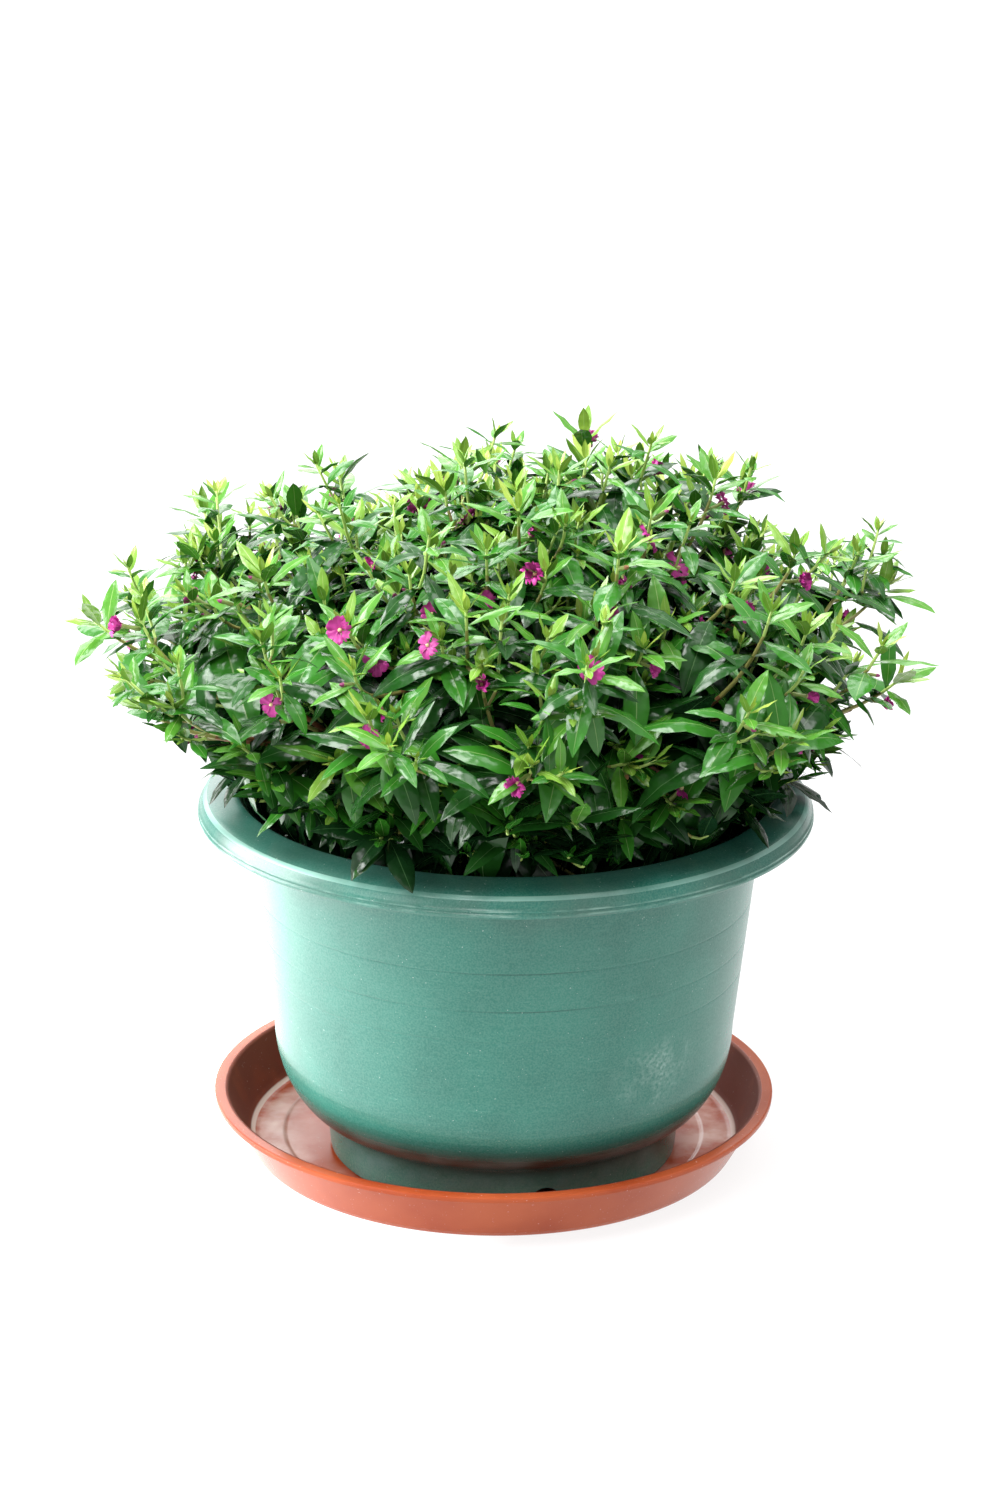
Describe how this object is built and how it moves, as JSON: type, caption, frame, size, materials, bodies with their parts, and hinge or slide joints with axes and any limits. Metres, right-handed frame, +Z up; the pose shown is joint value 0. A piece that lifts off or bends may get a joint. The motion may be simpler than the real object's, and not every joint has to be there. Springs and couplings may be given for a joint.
{
  "type": "potted plant",
  "caption": "Leafy flowering shrub with small magenta flowers, in a round rimmed green plastic pot on a terracotta-coloured plastic saucer.",
  "frame": {"origin": "centre of the saucer's flat underside", "axes": "+Z up, -Y towards the picture's viewer"},
  "size_m": [0.2826, 0.2749, 0.2507],
  "materials": {
    "saucer_plastic": "satin",
    "pot_plastic": "satin",
    "potting_soil": "matte",
    "bark": "matte",
    "foliage": "satin"
  },
  "bodies": {
    "root": {"bough_high_1": "bark", "bough_high_2": "bark", "bough_high_3": "bark", "bough_high_4": "bark", "bough_high_5": "bark", "bough_low_1": "bark", "bough_low_2": "bark", "bough_low_3": "bark", "bough_low_4": "bark", "bough_low_5": "bark", "bough_low_6": "bark", "bough_low_7": "bark", "bough_top_1": "bark", "mass_high_1": "foliage", "mass_high_2": "foliage", "mass_high_3": "foliage", "mass_high_4": "foliage", "mass_high_5": "foliage", "mass_low_1": "foliage", "mass_low_2": "foliage", "mass_low_3": "foliage", "mass_low_4": "foliage", "mass_low_5": "foliage", "mass_low_6": "foliage", "mass_low_7": "foliage", "mass_top_1": "foliage", "pot": "pot_plastic", "saucer": "saucer_plastic", "soil": "potting_soil", "stem": "bark"}
  },
  "joints": []
}
